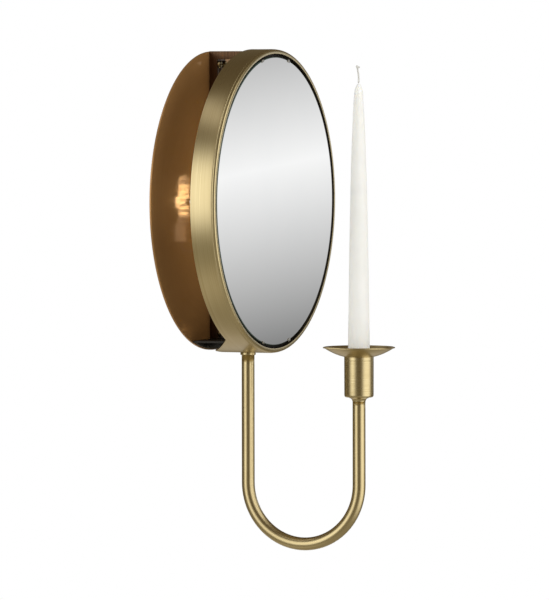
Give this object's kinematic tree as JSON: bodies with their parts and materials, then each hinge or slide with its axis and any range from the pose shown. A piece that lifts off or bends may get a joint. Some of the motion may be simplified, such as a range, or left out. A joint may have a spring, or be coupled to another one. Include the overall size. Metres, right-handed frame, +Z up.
{
  "type": "mirror wall lamp with candle arm",
  "caption": "Round backlit mirror in a brushed brass housing on a dark bronze wall plate, with a U-shaped tube arm that carries a taper candle in a cup and drip pan.",
  "frame": {"origin": "centre of the backplate's rear face, on the wall", "axes": "+X to the right seen from the front, +Y into the wall, +Z up; the mirror faces -Y"},
  "size_m": [0.3, 0.1935, 0.4944],
  "materials": {
    "brushed_brass": "brushed, clear lacquered",
    "polished_brass": "satin polished",
    "bronze_plate": "dark bronze, brushed and lacquered",
    "black_steel": "matt black powder coat",
    "zinc_steel": "zinc plated",
    "mirror_glass": "silvered float glass",
    "adhesive_foam": "white foam tape",
    "ceramic": "unglazed",
    "bulb_plastic": "white",
    "led_board": "warm light-emitting chips",
    "bulb_clear": "clear",
    "terminal_plastic": "cream",
    "black_rubber": "matt",
    "lead_brown": "brown insulation",
    "lead_blue": "blue insulation",
    "lead_earth": "green and yellow insulation",
    "candle_wax": "smooth white wax",
    "wick_cotton": "braided, unburnt"
  },
  "bodies": {
    "lamp": {"backplate": "bronze_plate", "spine": "bronze_plate", "spine_screws": "polished_brass", "arm_bracket": "black_steel", "bracket_screws": "black_steel", "housing": "brushed_brass", "top_screw": "polished_brass", "top_nut": "zinc_steel", "mirror_tray": "black_steel", "mirror_pads": "adhesive_foam", "mirror_glass": "mirror_glass", "mirror_clips": "zinc_steel", "retainer_tabs": "zinc_steel", "retainer_screws": "zinc_steel", "holder_bracket": "zinc_steel", "holder_screws": "zinc_steel", "lampholder": "ceramic", "terminal_block": "terminal_plastic", "terminal_screws": "zinc_steel", "earth_terminal": "polished_brass", "grommet": "black_rubber", "live_lead": "lead_brown", "neutral_lead": "lead_blue", "earth_lead": "lead_earth", "arm_tube": "polished_brass", "arm_nipple": "polished_brass", "arm_collar": "polished_brass", "arm_spacer": "zinc_steel", "arm_washer": "zinc_steel", "arm_nut": "polished_brass", "arm_plug": "polished_brass", "cup_neck": "polished_brass", "candle_cup": "polished_brass", "cup_screw": "zinc_steel"},
    "candle": {"candle": "candle_wax", "wick": "wick_cotton"},
    "drip_pan": {"drip_pan": "polished_brass", "pan_sleeve": "polished_brass"},
    "bulb": {"bulb_base": "bulb_plastic", "bulb_core": "led_board", "bulb_cover": "bulb_clear"}
  },
  "joints": [
    {"name": "candle_lift", "type": "slide", "parent": "lamp", "child": "candle", "axis": [0, 0, 1], "range_m": [0, 0.045]},
    {"name": "drip_pan_lift", "type": "slide", "parent": "lamp", "child": "drip_pan", "axis": [0, 0, 1], "range_m": [0, 0.02]},
    {"name": "bulb_pull", "type": "slide", "parent": "lamp", "child": "bulb", "axis": [0, 0, 1], "range_m": [0, 0.012]}
  ]
}
